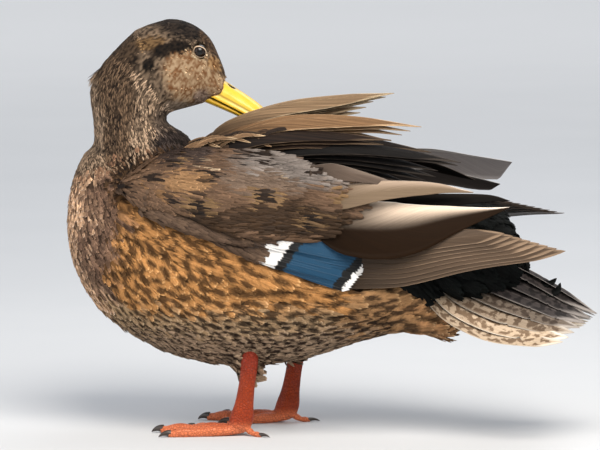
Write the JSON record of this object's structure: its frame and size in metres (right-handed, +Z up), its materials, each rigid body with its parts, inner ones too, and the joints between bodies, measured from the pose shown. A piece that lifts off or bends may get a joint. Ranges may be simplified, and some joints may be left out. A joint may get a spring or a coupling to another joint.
{
  "type": "duck",
  "caption": "Standing dabbling duck in mottled brown plumage, its head turned back over its shoulder to preen its raised back feathers, with a flat yellow bill and webbed orange feet.",
  "frame": {"origin": "on the floor, under the middle of the bird's bounding box", "axes": "+X from the breast to the tail, +Y to the bird's right side, +Z up"},
  "size_m": [0.3578, 0.137, 0.2758],
  "materials": {
    "body_plumage": "flesh under fine mottled feathers, matt",
    "wing_plumage": "broad feathers, matt with a faint silky sheen",
    "rump_plumage": "black feathers with a faint green gloss",
    "tail_plumage": "pale stiff feathers with brown marks, matt",
    "speculum": "blue iridescent feathers between black and white bars",
    "bill": "horn, satin",
    "leg": "scaly skin, satin",
    "claw": "horn, satin",
    "eye": "wet, glossy"
  },
  "bodies": {
    "root": {"bill_lower": "bill", "bill_upper": "bill", "claw_left_1": "claw", "claw_left_2": "claw", "claw_left_3": "claw", "claw_left_4": "claw", "claw_right_1": "claw", "claw_right_2": "claw", "claw_right_3": "claw", "claw_right_4": "claw", "eye_left": "eye", "eye_right": "eye", "foot_left": "leg", "foot_right": "leg", "head": "body_plumage", "neck": "body_plumage", "ruffled_feathers_lower": "wing_plumage", "ruffled_feathers_raised": "wing_plumage", "scapulars_left": "wing_plumage", "scapulars_right": "wing_plumage", "shank_left": "leg", "shank_right": "leg", "tail_coverts": "rump_plumage", "tail_curl": "rump_plumage", "tail_feathers_left": "tail_plumage", "tail_feathers_right": "tail_plumage", "thigh_left": "body_plumage", "thigh_right": "body_plumage", "trunk": "body_plumage", "wing_left_coverts": "wing_plumage", "wing_left_primaries": "wing_plumage", "wing_left_speculum": "speculum", "wing_left_tertial_1": "wing_plumage", "wing_left_tertial_2": "wing_plumage", "wing_left_tertial_3": "wing_plumage", "wing_right_coverts": "wing_plumage", "wing_right_primaries": "wing_plumage", "wing_right_speculum": "speculum", "wing_right_tertial_1": "wing_plumage", "wing_right_tertial_2": "wing_plumage", "wing_right_tertial_3": "wing_plumage"}
  },
  "joints": []
}
